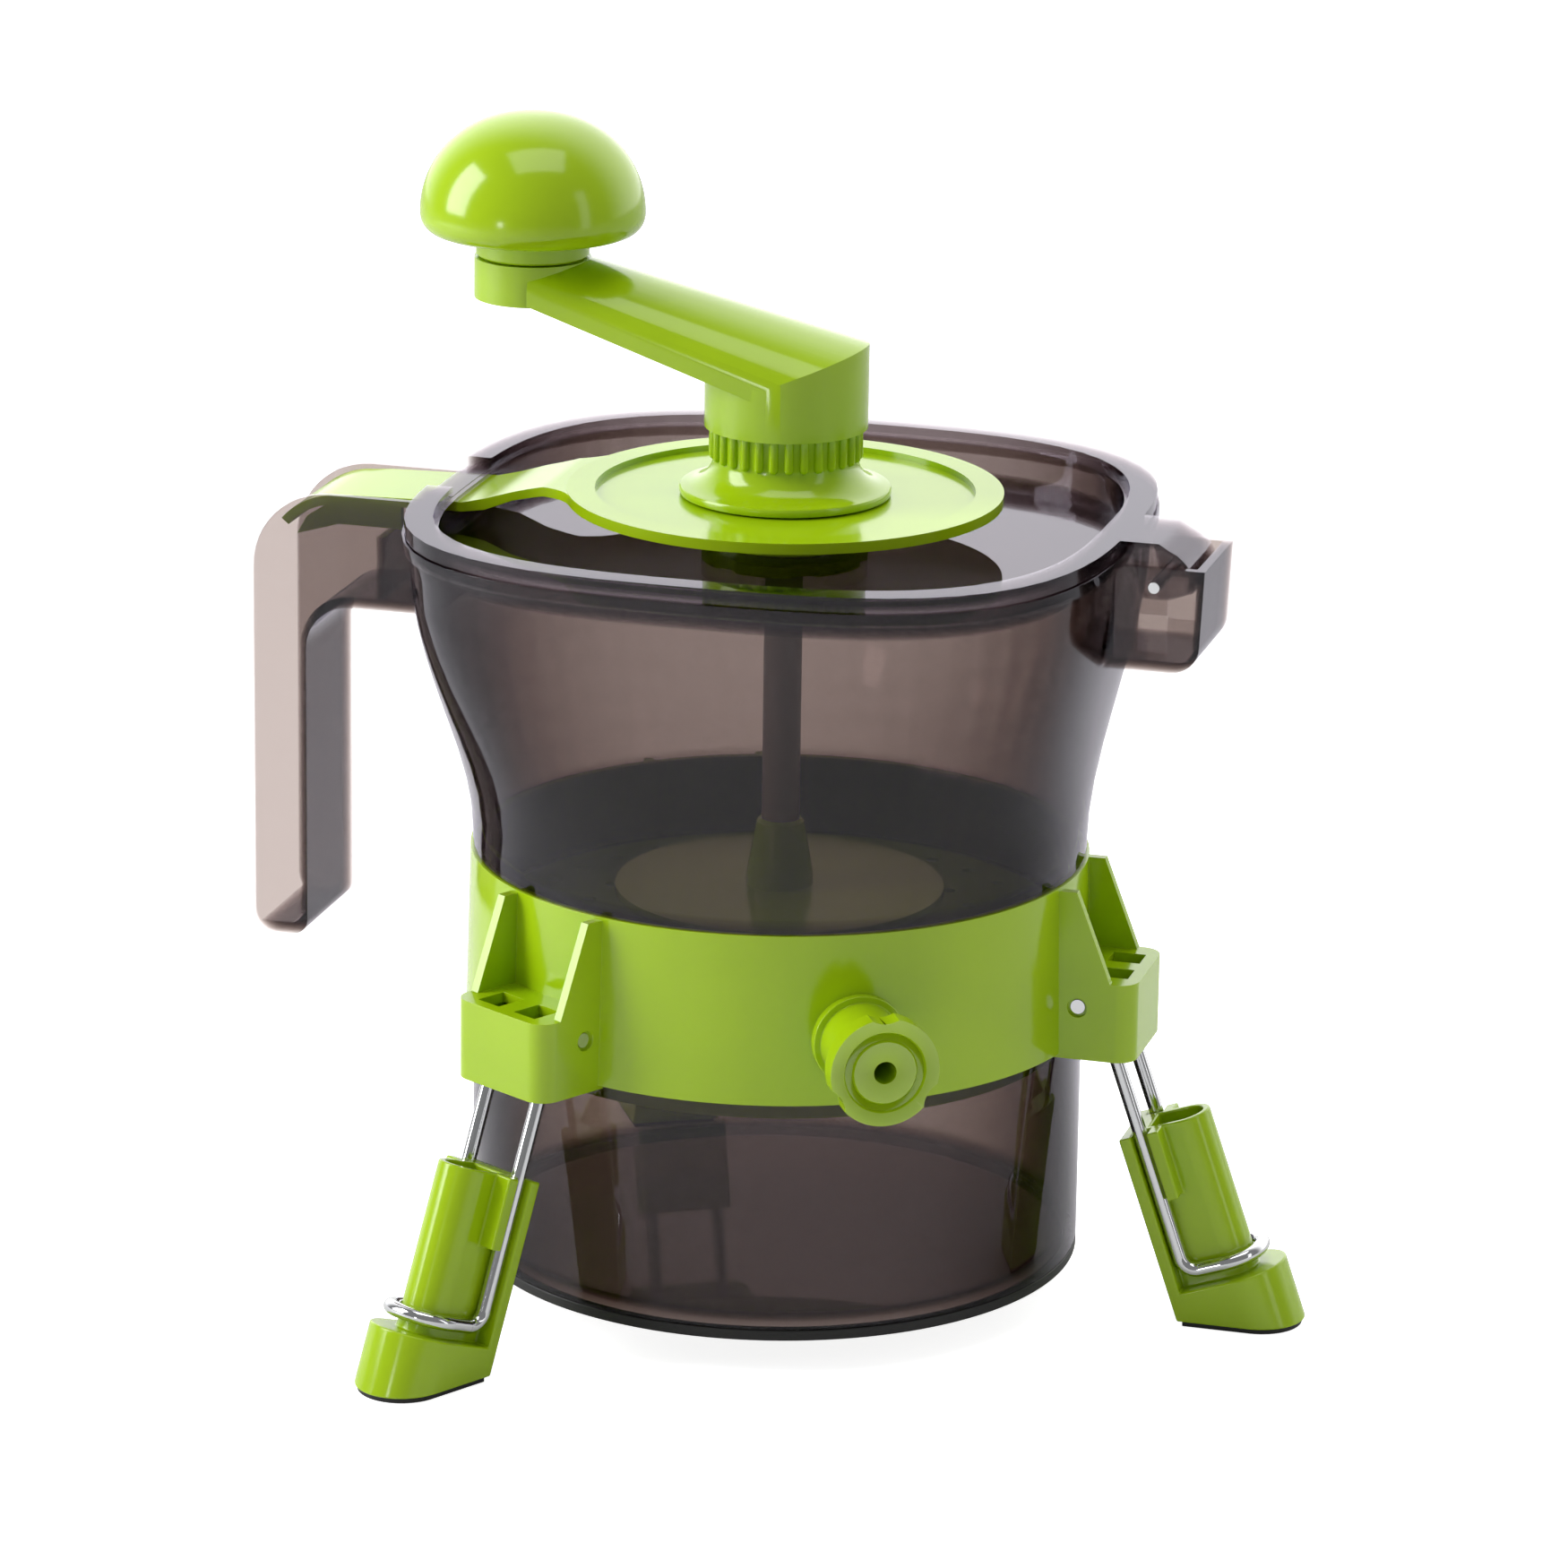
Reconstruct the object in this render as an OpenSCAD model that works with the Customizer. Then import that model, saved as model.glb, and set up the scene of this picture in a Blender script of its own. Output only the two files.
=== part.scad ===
// Hand-cranked tabletop press: a smoked bowl with a hinged lid and a crank, standing in a green
// collar with three folding wire legs over a smoked juice cup. Millimetres, +Z up. The origin is
// on the floor under the crank's axis; +X points at the lid's hinge and -X at the handle.

/* [Heights] */
// Gap between the floor and the underside of the cup
cup_lift = 8.5; // [6:0.5:11]
// Floor to the lower edge of the collar
collar_z0 = 68; // [66:0.5:70]
// Floor to the upper edge of the collar
collar_z1 = 109.3; // [108:0.1:111]
// Floor to the top of the bowl's rim
bowl_z1 = 191.3; // [190:0.1:191.4]
// Floor to the top of the lid's rim
lid_z1 = 195.1; // [195:0.1:195.6]

/* [Collar and cup] */
// Outer radius of the collar at its upper edge
collar_r = 75; // [74.8:0.1:75.4]
// Extra radius at the collar's lower edge
collar_flare = 1; // [0.6:0.1:1.2]
// Outer radius of the cup
cup_r = 74.2; // [74:0.1:74.3]
// Wall of the cup
cup_wall = 2.2; // [2:0.1:2.2]
// Turn that frees the cup's bayonet, in degrees
cup_turn = 20; // [15:1:25]

/* [Bowl and lid] */
// Half the width of the bowl's rim, flat to flat
rim_half = 85.8; // [85.5:0.1:86]
// Half the width of the bowl's wall under the rim
wall_half = 84; // [83.5:0.1:84]
// Squareness of the rim's outline, 2 is round
rim_power = 3; // [2.9:0.05:3.2]
// Wall of the bowl
bowl_wall = 2.3; // [2.1:0.1:2.5]
// Half the width of the lid's rim
lid_half = 85.2; // [85:0.1:85.4]
// Width of the opening that the latch tongue runs in
tongue_slot = 30; // [29.4:0.2:30.4]

/* [Crank] */
// Distance from the crank's axis to the knob's axis
crank_r = 63.5; // [60:0.5:66]
// Radius of the crank's hub
hub_r = 19.6; // [19:0.1:20]
// Radius of the boss under the knob
boss_r = 14; // [13.6:0.1:14.4]
// Radius of the knob
knob_r = 27; // [25:0.5:28]
// Height of the knob's dome above its widest line
knob_dome = 24; // [22:0.5:26]
// Flutes round the collar under the hub
flutes = 30; // [24:1:36]

/* [Legs] */
// Legs round the collar
legs = 3; // [3:1:3]
// Lean of the legs from upright, in degrees
splay = 19.3; // [18:0.1:20]
// Diameter of the leg wire
wire_d = 3.5; // [3.3:0.1:3.6]
// Half the distance between the two wires of a leg
wire_half = 8.7; // [8.5:0.1:8.9]
// Radius from the crank's axis to the legs' pivots
pivot_r = 78.5; // [78:0.1:79]
// Height of the legs' pivots
pivot_z = 80; // [79.5:0.1:80.5]

/* [Tap] */
// Direction of the tap round the collar, in degrees
tap_angle = -60; // [-64:1:-56]
// Height of the tap's axis
tap_z = 83.8; // [83:0.1:85]
// Radius of the tap's knob
tap_knob_r = 13; // [12:0.5:14]

/* [Hidden] */
$fn = 96;

green = [0.64, 0.77, 0.18];
smoke = [0.36, 0.32, 0.33, 0.55];
rubber = [0.08, 0.08, 0.08];
steel = [0.8, 0.8, 0.82];
pale = [0.85, 0.85, 0.82];
steps = 72;             // points round a squircle
gap = 0.3;              // between pieces of different bodies
eps = 0.01;

// Pieces inside the collar
collar_wall = 2.4;
skirt_r = 70.6;         // the collar's inner skirt, which the cup closes on
skirt_wall = 2;
skirt_z0 = 63;
web_z0 = 72.6;
web_t = 2.4;
web_r = 66;
drain_r = 11;
drain_z1 = 79;
cup_top = 72.2;
cup_floor = 3;
base_ring_h = 2.6;
base_ring_w = 3.2;
spigot_r = 72.3;        // the bowl's lower end, inside the collar
spigot_z0 = 90;
strainer_t = 2.4;
ledge_z1 = 85.6;
ledge_r = 68.4;
bayonets = 4;

// Lid
panel_z1 = 186;
panel_t = 2.4;
lid_rim_w = 6.4;
lid_z0 = 191.6;
recess_half = 77.6;
spigot_half = 79.9;
strip_z1 = 192.8;       // the thin bridge over the tongue
hinge_x = 94;
hinge_z = 185;
hinge_pin_r = 1.5;
tab_half = 12.8;
tab_r = 9;
pocket_x1 = 106.3;
pocket_half = 16;
pocket_z0 = 164.8;
pocket_z1 = 190;
pocket_wall = 2.2;

// Latch disc and its tongue
disc_r = 52.3;
disc_z0 = 195.1;
disc_z1 = 197.7;
disc_recess_r = 45.5;
disc_recess = 1.4;
tongue_w = 28;
tongue_t = 2.3;
tongue_z1 = 191.2;
neck_r = 12;            // threaded neck through the lid
bush_r = 6;
shaft_r = 4.6;
nut_r = 20;
nut_h = 3;

// Handle
handle_half = 17.4;
handle_x0 = -129;
handle_x1 = -115.3;
handle_z0 = 79;
handle_z1 = 191;
handle_under = 163.2;
handle_wall = 2.2;
handle_bend = 19.5;

// Crank
skirt_rim_r = 25.4;
drive_z0 = disc_z1 - disc_recess + gap;
flute_z0 = 206;
hub_z0 = 213.1;
flute_r = 18;
crest_hub = 233.9;      // crest of the arm over the hub's far side
crest_slope = 0.2307;
edge_hub = 225.3;       // edge of the arm's top beside the hub's axis
edge_knob = 244.8;
side_h = 3.3;
boss_z0 = 240;
boss_z1 = 249.8;
knob_neck_r = 13.6;
knob_neck_h = 5.8;
knob_z0 = boss_z1 + gap;
spindle_r = 3;
rotor_r = 40;
rotor_z0 = 97;
rotor_t = 2;
rotor_hub_z1 = 115.6;

// Legs and feet
leg_first = 0;
block_half = 15.7;
block_r1 = 92.5;
block_z0 = 67;
block_z1 = 86.5;
gusset_t = 2.4;
block_wall = 2.5;
wire_r = wire_d / 2;
bend_r = 4;
loop_run = 9.1;         // from the wires to the centre of the loop's end
knee = [84.6, 72.5];    // where a wire turns from its pivot into its leg
leg_bottom = [105.4, 13.2];
tube_half = 6.6;
foot_top = 36.5;
foot_step = -4.2;       // top of the foot's base, along the leg from the loop
plate_in = -5;
plate_half = 11.4;
toe_n = 22.55;
pad_h = 1.3;

// Shape of the bowl's wall: half its width and its squareness at a height
bowl_s0 = collar_z1 + 3;
bowl_s1 = bowl_z1 - 7;
function ramp(z) = let (t = max(0, min(1, (z - bowl_s0) / (bowl_s1 - bowl_s0)))) t * t * (3 - 2 * t);
function bowl_half(z) = collar_r - 0.6 + (wall_half - collar_r + 0.6) * ramp(z);
function bowl_power(z) = 2 + (rim_power - 2) * ramp(z);
function squircle_r(half, power, t) = half * pow(pow(abs(cos(t)), power) + pow(abs(sin(t)), power), -1 / power);
function squircle(half, power) = [
    for (i = [0:steps - 1]) let (t = 360 * i / steps, r = squircle_r(half, power, t)) [r * cos(t), r * sin(t)]
];
function arc(c, r, a0, a1, n = 8) = [for (i = [0:n]) let (t = a0 + (a1 - a0) * i / n) c + r * [cos(t), sin(t)]];

// A closed section of [half width, squareness, height] points, swept round the axis
module squircle_sweep(section) {
    count = len(section);
    points = [
        for (s = section, i = [0:steps - 1])
            let (t = 360 * i / steps, r = squircle_r(s[0], s[1], t)) [r * cos(t), r * sin(t), s[2]]
    ];
    faces = [
        for (k = [0:count - 1], i = [0:steps - 1])
            let (a = k * steps, b = ((k + 1) % count) * steps, j = (i + 1) % steps)
                each [[a + i, b + i, b + j], [a + i, b + j, a + j]]
    ];
    polyhedron(points = points, faces = faces, convexity = 6);
}

module squircle_ring(outer, inner, z0, z1, power = rim_power) {
    translate([0, 0, z0])
        linear_extrude(z1 - z0)
            difference() {
                polygon(squircle(outer, power));
                polygon(squircle(inner, power));
            }
}

module tube(r_out, r_in, z0, z1) {
    translate([0, 0, z0])
        difference() {
            cylinder(h = z1 - z0, r = r_out);
            translate([0, 0, -1])
                cylinder(h = z1 - z0 + 2, r = r_in);
        }
}

module box(x0, x1, y0, y1, z0, z1) {
    translate([x0, y0, z0])
        cube([x1 - x0, y1 - y0, z1 - z0]);
}

// Extrudes a drawing made in X and Z, centred on Y
module side_extrude(width) {
    rotate([90, 0, 0])
        translate([0, 0, -width / 2])
            linear_extrude(width)
                children();
}

// Juice cup, held in the collar by four inner ledges
module cup() {
    ledge_w = 12;
    color(smoke) {
        difference() {
            union() {
                translate([0, 0, cup_lift + base_ring_h])
                    cylinder(h = cup_top - cup_lift - base_ring_h, r = cup_r);
                translate([0, 0, cup_lift + 0.6])
                    cylinder(h = base_ring_h, r = cup_r - base_ring_w);
            }
            translate([0, 0, cup_lift + base_ring_h + cup_floor])
                cylinder(h = cup_top, r = cup_r - cup_wall);
        }
        for (i = [0:bayonets - 1])
            rotate(i * 360 / bayonets + 45)
                translate([0, 0, cup_top - 3])
                    intersection() {
                        tube(cup_r - cup_wall + 0.2, skirt_r + gap, 0, 2);
                        box(60, 80, -ledge_w / 2, ledge_w / 2, -1, 3);
                    }
    }
}

// Soft ring under the cup
module cup_base_ring() {
    color(rubber)
        tube(cup_r, cup_r - base_ring_w, cup_lift, cup_lift + base_ring_h);
}

// Block, gussets and openings of one leg bracket, on +X
module bracket_solid() {
    round_r = 5;
    corner = [block_r1 - round_r, block_half - round_r];
    outline = concat(
        [[70, -block_half]],
        arc([corner[0], -corner[1]], round_r, -90, 0),
        arc(corner, round_r, 0, 90),
        [[70, block_half]]
    );
    translate([0, 0, block_z0])
        linear_extrude(block_z1 - block_z0)
            polygon(outline);
    for (side = [-1, 1])
        translate([0, side * (block_half - gusset_t / 2), 0])
            side_extrude(gusset_t)
                polygon([
                    [73, block_z1 - 1], [86.4, block_z1 - 1], [86.4, block_z1],
                    [77.8, collar_z1 - 0.6], [73, collar_z1 - 0.6]
                ]);
}

module bracket_hollows() {
    // Pockets that the wires stand in, open below, with a rib between them
    for (side = [-1, 1]) {
        mid = side * 7.6;
        box(76.4, block_r1 - block_wall, mid - 5.2, mid + 5.2, block_z0 - 1, block_z1 - block_wall);
        box(81.4, 89.4, side * 6.2 - 3.6, side * 6.2 + 3.6, block_z0, block_z1 + 1);
    }
    // Pivot bore, with a wider mouth on each face
    translate([pivot_r, 0, pivot_z])
        rotate([90, 0, 0])
            cylinder(h = 60, r = wire_r + 0.08, center = true);
    for (side = [-1, 1])
        translate([pivot_r, side * (block_half + 4), pivot_z])
            rotate([90, 0, 0])
                cylinder(h = 10, r = wire_r + 0.7, center = true);
}

// Collar with three leg brackets, an inner skirt for the cup and a draining floor
module collar() {
    color(green)
        difference() {
            union() {
                translate([0, 0, collar_z0])
                    cylinder(h = collar_z1 - collar_z0, r1 = collar_r + collar_flare, r2 = collar_r);
                for (i = [0:legs - 1])
                    rotate(leg_first + i * 360 / legs)
                        bracket_solid();
                tube(skirt_r, skirt_r - skirt_wall, skirt_z0, collar_z0 + 2);
            }
            for (i = [0:legs - 1])
                rotate(leg_first + i * 360 / legs)
                    bracket_hollows();
            // Upper well for the bowl's lower end, with a ledge for the strainer's seal
            translate([0, 0, ledge_z1])
                cylinder(h = 60, r = collar_r - collar_wall);
            translate([0, 0, ledge_z1 - 3])
                cylinder(h = 5, r = ledge_r);
            translate([0, 0, web_z0 + web_t])
                cylinder(h = ledge_z1 - 2.4 - web_z0 - web_t, r = collar_r - collar_wall);
            translate([0, 0, web_z0 - 1])
                cylinder(h = 10, r = web_r);
            // Groove that the cup's rim turns in
            tube(collar_r - 0.5, skirt_r, collar_z0 - 8, web_z0);
            translate([0, 0, skirt_z0 - 1])
                cylinder(h = web_z0 - skirt_z0 + 1, r = skirt_r - skirt_wall);
            // Way out to the tap
            rotate(tap_angle)
                translate([60, 0, tap_z])
                    rotate([0, 90, 0])
                        cylinder(h = 30, r = 5);
        }
    // Lugs on the skirt that carry the cup
    color(green)
        for (i = [0:bayonets - 1])
            rotate(i * 360 / bayonets + 45)
                intersection() {
                    tube(skirt_r + 1, skirt_r - 0.5, cup_top - 5.6, cup_top - 3.3);
                    box(60, 80, -5, 5, skirt_z0, collar_z0 + 9);
                }
}

// Floor of the juice chamber, with the standpipe that drains into the cup
module drain_web() {
    color(green) {
        tube(web_r, drain_r - 2, web_z0, web_z0 + web_t);
        tube(drain_r, drain_r - 2, web_z0 + web_t - 0.5, drain_z1);
    }
}

// Bowl: round where it stands in the collar, nearly square at its rim
module bowl() {
    levels = [for (k = [0:9]) bowl_s0 + (bowl_s1 - bowl_s0) * k / 9];
    outside = concat(
        [[spigot_r, 2, spigot_z0], [spigot_r, 2, collar_z1], [bowl_half(collar_z1), 2, collar_z1]],
        [for (z = levels) [bowl_half(z), bowl_power(z), z]],
        [
            [wall_half, rim_power, bowl_z1 - 3], [rim_half, rim_power, bowl_z1 - 3],
            [rim_half, rim_power, bowl_z1], [wall_half - bowl_wall, rim_power, bowl_z1]
        ]
    );
    inside = concat(
        [for (k = [9:-1:0]) let (z = levels[k]) [bowl_half(z) - bowl_wall, bowl_power(z), z]],
        [[spigot_r - bowl_wall, 2, collar_z1], [spigot_r - bowl_wall, 2, spigot_z0]]
    );
    color(smoke)
        difference() {
            squircle_sweep(concat(outside, inside));
            box(-95, -70, -tongue_slot / 2, tongue_slot / 2, bowl_z1 - 3.2, bowl_z1 + 1);
        }
}

// Soft ring between the strainer's edge and the collar's ledge
module bowl_seal() {
    color(rubber)
        tube(spigot_r - 0.2, ledge_r, ledge_z1, spigot_z0 - strainer_t);
}

// Perforated plate under the press rotor
module strainer() {
    z0 = spigot_z0 - strainer_t;
    color(green)
        difference() {
            union() {
                translate([0, 0, z0])
                    cylinder(h = strainer_t, r = spigot_r - 0.2);
                translate([0, 0, z0])
                    cylinder(h = strainer_t + 3, r = 4.5);
            }
            for (ring = [1:4])
                for (i = [0:ring * 8 - 1])
                    rotate(i * 360 / (ring * 8))
                        translate([ring * 14 + 6, 0, z0 - 1])
                            cylinder(h = strainer_t + 2, r = 1.6, $fn = 24);
        }
}

// Side view of the handle: an upside-down L with round corners
function handle_side(top) = concat(
    [[-rim_half, top], [-rim_half, bowl_z1 - 3.1], [-wall_half, bowl_z1 - 3.1]],
    [for (z = [bowl_s1, 176, handle_under]) [-bowl_half(z), z]],
    arc([handle_x1 + 11, handle_under - 11], 11, 90, 180),
    arc([handle_x1 - 4, handle_z0 + 4], 4, 0, -90),
    arc([handle_x0 + 5.5, handle_z0 + 5.5], 5.5, 270, 180),
    arc([handle_x0 + handle_bend, top - handle_bend], handle_bend, 180, 90, 12)
);

// The same view of the channel inside, which is open upwards and outwards
function handle_channel() = concat(
    [[-bowl_half(bowl_z1) - 2.6, handle_z1 + 5], [-bowl_half(bowl_z1) - 2.6, handle_under + handle_wall]],
    arc([handle_x1 + 11, handle_under - 11], 11 + handle_wall, 90, 180),
    [[handle_x1 - handle_wall, handle_z0 + 8]],
    arc([handle_x1 - handle_wall - 3, handle_z0 + handle_wall + 3], 3, 0, -90),
    [[handle_x0 - 8, handle_z0 + handle_wall], [handle_x0 - 8, handle_z1 + 5]]
);

// Grip: a channel open to the outside, hanging free at its lower end
module handle() {
    color(smoke)
        difference() {
            side_extrude(2 * handle_half)
                polygon(handle_side(handle_z1));
            side_extrude(2 * (handle_half - handle_wall))
                polygon(handle_channel());
            box(-92, -80, -tongue_slot / 2, tongue_slot / 2, tongue_z1 - tongue_t - 0.5, handle_z1 + 1);
        }
    // Rib across the channel beside the bowl
    color(smoke)
        box(-98, -96, -handle_half + handle_wall, handle_half - handle_wall, handle_under + 1, handle_z1 - 10);
}

// Box on the bowl's side that the lid's hinge turns in
module hinge_pocket() {
    r = 7;
    r_in = 2.8;
    outline = concat(
        [
            [wall_half, bowl_z1 - 3.1], [rim_half, bowl_z1 - 3.1], [rim_half, pocket_z1],
            [pocket_x1, pocket_z1]
        ],
        arc([pocket_x1 - 0.8 - r, pocket_z0 + r], r, 0, -90),
        [for (z = [pocket_z0, pocket_z0 + 6, pocket_z0 + 12, pocket_z0 + 18]) [bowl_half(z), z]]
    );
    inner = concat(
        [[bowl_half(pocket_z1) + 0.4, pocket_z1 + 1], [pocket_x1 - pocket_wall, pocket_z1 + 1]],
        arc([pocket_x1 - 0.8 - pocket_wall - r_in, pocket_z0 + pocket_wall + r_in], r_in, 0, -90),
        [[wall_half + 0.4, pocket_z0 + pocket_wall]]
    );
    color(smoke)
        difference() {
            side_extrude(2 * pocket_half)
                polygon(outline);
            side_extrude(2 * (pocket_half - pocket_wall))
                polygon(inner);
            // Shallow groove under the pin on both side walls
            for (side = [-1, 1])
                translate([0, side * pocket_half, 0])
                    side_extrude(1.6)
                        translate([hinge_x - 3.4, pocket_z0 + 4.6])
                            square([7.2, 9.4]);
            translate([hinge_x, 0, hinge_z])
                rotate([90, 0, 0])
                    cylinder(h = 60, r = hinge_pin_r, center = true);
            for (side = [-1, 1])
                translate([hinge_x, side * (pocket_half + 4), hinge_z])
                    rotate([90, 0, 0])
                        cylinder(h = 9.4, r = hinge_pin_r + 0.8, center = true);
        }
}

module hinge_pin() {
    color(steel)
        translate([hinge_x, 0, hinge_z])
            rotate([90, 0, 0])
                cylinder(h = 2 * pocket_half - 1.6, r = hinge_pin_r, center = true, $fn = 48);
}

// Hood of the lid that turns on the hinge pin
module lid_tab() {
    top = lid_z1;
    outline = concat(
        [[hinge_x - 13.2, lid_z0], [hinge_x - 13.2, top], [hinge_x + 0.4, top]],
        arc([hinge_x, hinge_z], tab_r, 70, -8, 12),
        [[hinge_x + 3, hinge_z - 3.4], [hinge_x - 3.6, hinge_z - 3.4], [hinge_x - 6.4, lid_z0]]
    );
    difference() {
        side_extrude(2 * tab_half)
            polygon(outline);
        // Open underside between the two knuckles
        side_extrude(2 * tab_half - 8)
            polygon(concat(
                [[hinge_x - 8.4, hinge_z - 6], [hinge_x - 8.4, top - 2.4], [hinge_x, top - 2.4]],
                arc([hinge_x, hinge_z], tab_r - 2.3, 75, -10, 12),
                [[hinge_x + 6.4, hinge_z - 6]]
            ));
    }
}

// Lid: a sunk panel inside a raised rim, with the hinge hood on +X
module lid() {
    color(smoke)
        difference() {
            union() {
                squircle_ring(lid_half, lid_half - lid_rim_w, lid_z0, lid_z1);
                squircle_ring(spigot_half, recess_half, panel_z1 - panel_t, lid_z0 + 1);
                squircle_ring(recess_half + 0.5, neck_r + 0.1, panel_z1 - panel_t, panel_z1);
                lid_tab();
            }
            // Cut for the tongue, leaving a thin bridge over it
            box(-95, -70, -tongue_slot / 2, tongue_slot / 2, strip_z1, lid_z1 + 1);
            box(-95, -70, -tongue_slot / 2, tongue_slot / 2, tongue_z1 - tongue_t - 0.6, lid_z0);
            translate([0, 0, panel_z1 - panel_t - 1])
                cylinder(h = panel_t + 2, r = neck_r + 0.1);
            translate([hinge_x, 0, hinge_z])
                rotate([90, 0, 0])
                    cylinder(h = 60, r = hinge_pin_r + 0.08, center = true);
        }
}

// Side view of the tongue: down from the disc, through the lid's rim, over the handle and into it
function tongue_top() = concat(
    [
        [-46, disc_z1 - 0.2], [-56, disc_z1 - 0.8], [-64, disc_z1 - 2.9], [-71, tongue_z1 + 1.4],
        [-76.6, tongue_z1], [-88, tongue_z1 - 0.2], [-104, tongue_z1 - 0.6]
    ],
    arc([-108.2, handle_z1 - handle_bend], handle_bend - 0.8, 90, 140, 8)
);
function tongue_under() = concat(
    arc([-108.2, handle_z1 - handle_bend], handle_bend - 0.8 - tongue_t, 140, 90, 8),
    [
        [-104, tongue_z1 - 0.6 - tongue_t], [-88, tongue_z1 - 0.2 - tongue_t], [-76.6, tongue_z1 - tongue_t],
        [-71, tongue_z1 - tongue_t + 0.9], [-64, disc_z0 - 2.4], [-56, disc_z0 - 0.5], [-46, disc_z0]
    ]
);

// Disc over the lid with the tongue that latches on the handle
module latch_disc() {
    bore = bush_r;
    fillet = 16;
    root = sqrt(pow(disc_r + fillet, 2) - pow(tongue_w / 2 + fillet, 2));
    reach = (tongue_w / 2 + fillet) * disc_r / (disc_r + fillet);
    color(green)
        difference() {
            union() {
                tube(disc_r, disc_recess_r, disc_z0, disc_z1);
                tube(disc_recess_r + 0.5, bore, disc_z0, disc_z1 - disc_recess);
                tube(nut_r, bore, panel_z1, disc_z0 + 0.5);
                tube(neck_r, bore, panel_z1 - panel_t - nut_h, panel_z1 + 0.5);
                intersection() {
                    side_extrude(90)
                        polygon(concat(tongue_top(), tongue_under()));
                    translate([0, 0, 150])
                        linear_extrude(60)
                            difference() {
                                union() {
                                    translate([-130, -tongue_w / 2])
                                        square([90, tongue_w]);
                                    translate([-root, -reach])
                                        square([root - 40, 2 * reach]);
                                }
                                for (side = [-1, 1])
                                    translate([-root, side * (tongue_w / 2 + fillet)])
                                        circle(r = fillet);
                                circle(r = disc_recess_r + 1);
                            }
                }
                // Walls under the tongue where it lies in the handle
                for (side = [-1, 1])
                    translate([0, side * (tongue_w / 2 - 1), 0])
                        side_extrude(2)
                            polygon([
                                [-92, tongue_z1 - 1.2], [-92, tongue_z1 - 8], [-108, tongue_z1 - 8],
                                [-118.6, 180], [-116, 184.6], [-109, tongue_z1 - 2]
                            ]);
            }
            translate([0, 0, 150])
                cylinder(h = 60, r = bore);
        }
}

// Nut that holds the disc to the lid from below
module lid_nut() {
    z0 = panel_z1 - panel_t - nut_h;
    color(green)
        difference() {
            tube(nut_r, neck_r, z0, panel_z1 - panel_t);
            for (i = [0:5])
                rotate(i * 60)
                    translate([nut_r + 2, 0, z0 - 1])
                        cylinder(h = nut_h + 2, r = 4);
        }
}

module lid_bush() {
    color(pale)
        tube(bush_r, shaft_r + 0.06, panel_z1 - panel_t - nut_h, disc_z1 - disc_recess);
}

// Half width and crest of the arm at a place along it, from the hub (0) to the knob (1)
function arm_half(u) = hub_r + (boss_r - hub_r) * u;
function arm_crest(x) = crest_hub + crest_slope * (hub_r - x);
function arm_edge(u) = edge_hub + (edge_knob - edge_hub) * u;

// Arched section of the arm at x, as points up one side and down the other
function arm_section(u) = let (
    x = -u * crank_r, w = arm_half(u), e = arm_edge(u), c = arm_crest(x)
) concat(
    [[x, -w, e - side_h]],
    [for (k = [0:24]) let (t = 180 * k / 24) [x, -w * cos(t), e + (c - e) * sin(t)]],
    [[x, w, e - side_h]]
);

// Solid through a list of sections that all have the same number of points
module loft(sections) {
    n = len(sections[0]);
    m = len(sections);
    points = [for (s = sections) each s];
    sides = [
        for (k = [0:m - 2], i = [0:n - 1])
            let (j = (i + 1) % n, a = k * n, b = (k + 1) * n)
                each [[a + i, b + j, a + j], [a + i, b + i, b + j]]
    ];
    polyhedron(
        points = points,
        faces = concat([[for (i = [0:n - 1]) i]], sides, [[for (i = [n - 1:-1:0]) (m - 1) * n + i]]),
        convexity = 4
    );
}

// Arched arm, rising from the hub to the boss under the knob
module crank_arm() {
    inside = 2.6;
    color(green)
        difference() {
            union() {
                intersection() {
                    loft([for (k = [-6:12]) arm_section(k / 12 * 0.94)]);
                    union() {
                        translate([0, 0, 200])
                            cylinder(h = 80, r = hub_r);
                        box(-crank_r, 0, -hub_r, hub_r, 200, boss_z1);
                    }
                }
                difference() {
                    translate([0, 0, hub_z0 + 0.2])
                        cylinder(h = edge_hub - hub_z0, r = hub_r);
                }
                translate([-crank_r, 0, boss_z0])
                    cylinder(h = boss_z1 - boss_z0, r = boss_r);
            }
            translate([0, 0, hub_z0 - 1])
                cylinder(h = 13, r = hub_r - inside);
            translate([0, 0, hub_z0 - 1])
                cylinder(h = 17, r = shaft_r);
            translate([-crank_r, 0, boss_z0 - 1])
                cylinder(h = 20, r = spindle_r);
            translate([-crank_r, 0, boss_z0 - 1])
                cylinder(h = 4, r = 6.2);
        }
}

// Fluted collar with a flared skirt, turning with the crank
module drive_collar() {
    skirt = concat(
        [[shaft_r, drive_z0], [skirt_rim_r - 0.6, drive_z0], [skirt_rim_r, drive_z0 + 0.6], [skirt_rim_r, drive_z0 + 2.2]],
        [for (k = [1:8]) let (t = 90 * k / 8)
            [flute_r + (skirt_rim_r - flute_r) * (1 - sin(t)), drive_z0 + 2.2 + (flute_z0 - drive_z0 - 2.2) * (1 - cos(t))]],
        [[flute_r, hub_z0], [hub_r - 2.8, hub_z0], [hub_r - 2.8, hub_z0 + 4], [shaft_r, hub_z0 + 4]]
    );
    color(green)
        difference() {
            rotate_extrude()
                polygon(skirt);
            for (i = [0:flutes - 1])
                rotate(i * 360 / flutes)
                    translate([flute_r + 0.5, 0, flute_z0 + 0.4])
                        cylinder(h = hub_z0 - flute_z0 - 0.8, r = 1.3, $fn = 16);
        }
}

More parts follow.
